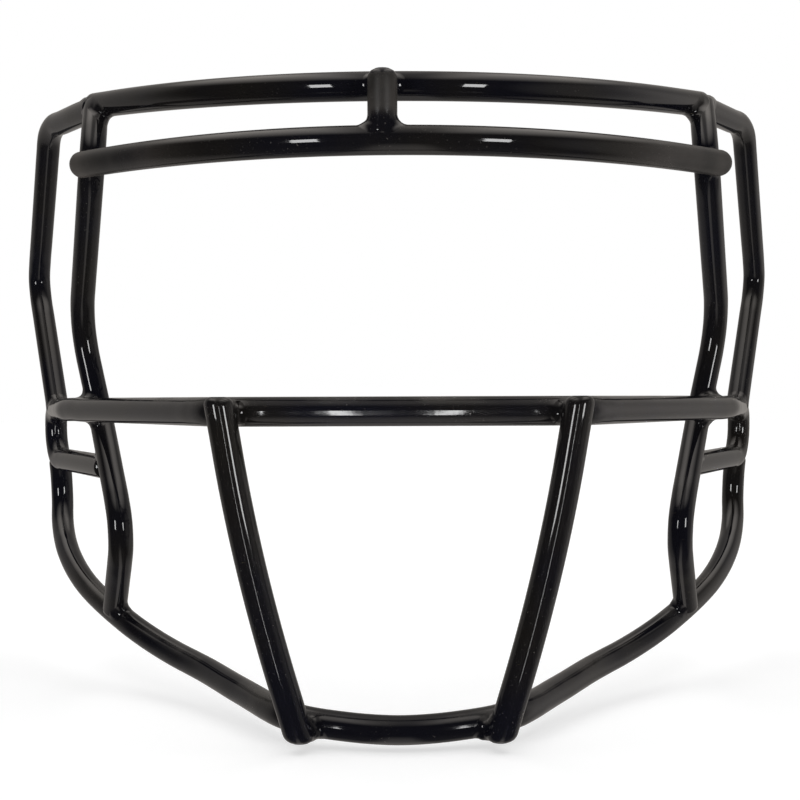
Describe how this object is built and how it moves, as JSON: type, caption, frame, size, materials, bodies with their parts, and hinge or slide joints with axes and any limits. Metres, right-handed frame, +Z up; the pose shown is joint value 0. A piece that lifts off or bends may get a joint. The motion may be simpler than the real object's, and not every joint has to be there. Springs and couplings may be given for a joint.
{
  "type": "football helmet faceguard",
  "caption": "Welded and black-coated wire faceguard of a football helmet: brow wires, uprights, temple loops, a mid wire, a jaw wire and slanted verticals over the mouth.",
  "frame": {"origin": "the middle of the faceguard's box, between its left and right sides", "axes": "+X to the right as seen from the front, +Y from the front towards the helmet, +Z up"},
  "size_m": [0.2308, 0.1422, 0.1594],
  "materials": {
    "coated_wire": "glossy black powder coat on round steel wire, with a faint orange-peel surface",
    "coated_weld": "the same glossy black coat, pooled smooth over the weld beads"
  },
  "bodies": {
    "root": {"brow_post": "coated_wire", "jaw_wire": "coated_wire", "left_brow_corner_weld": "coated_weld", "left_brow_end_weld": "coated_weld", "left_cheek_crossing_weld": "coated_weld", "left_hairpin_end_weld": "coated_weld", "left_jaw_top_weld": "coated_weld", "left_temple_corner_weld": "coated_weld", "left_temple_foot_weld": "coated_weld", "left_temple_loop": "coated_wire", "left_upright": "coated_wire", "left_upright_foot_weld": "coated_weld", "left_vertical": "coated_wire", "left_vertical_foot_weld": "coated_weld", "left_vertical_top_weld": "coated_weld", "lower_brow_wire": "coated_wire", "mid_wire": "coated_wire", "post_foot_weld": "coated_weld", "post_lap_weld": "coated_weld", "right_brow_corner_weld": "coated_weld", "right_brow_end_weld": "coated_weld", "right_cheek_crossing_weld": "coated_weld", "right_hairpin_end_weld": "coated_weld", "right_jaw_top_weld": "coated_weld", "right_temple_corner_weld": "coated_weld", "right_temple_foot_weld": "coated_weld", "right_temple_loop": "coated_wire", "right_upright": "coated_wire", "right_upright_foot_weld": "coated_weld", "right_vertical": "coated_wire", "right_vertical_foot_weld": "coated_weld", "right_vertical_top_weld": "coated_weld", "upper_brow_wire": "coated_wire"}
  },
  "joints": []
}
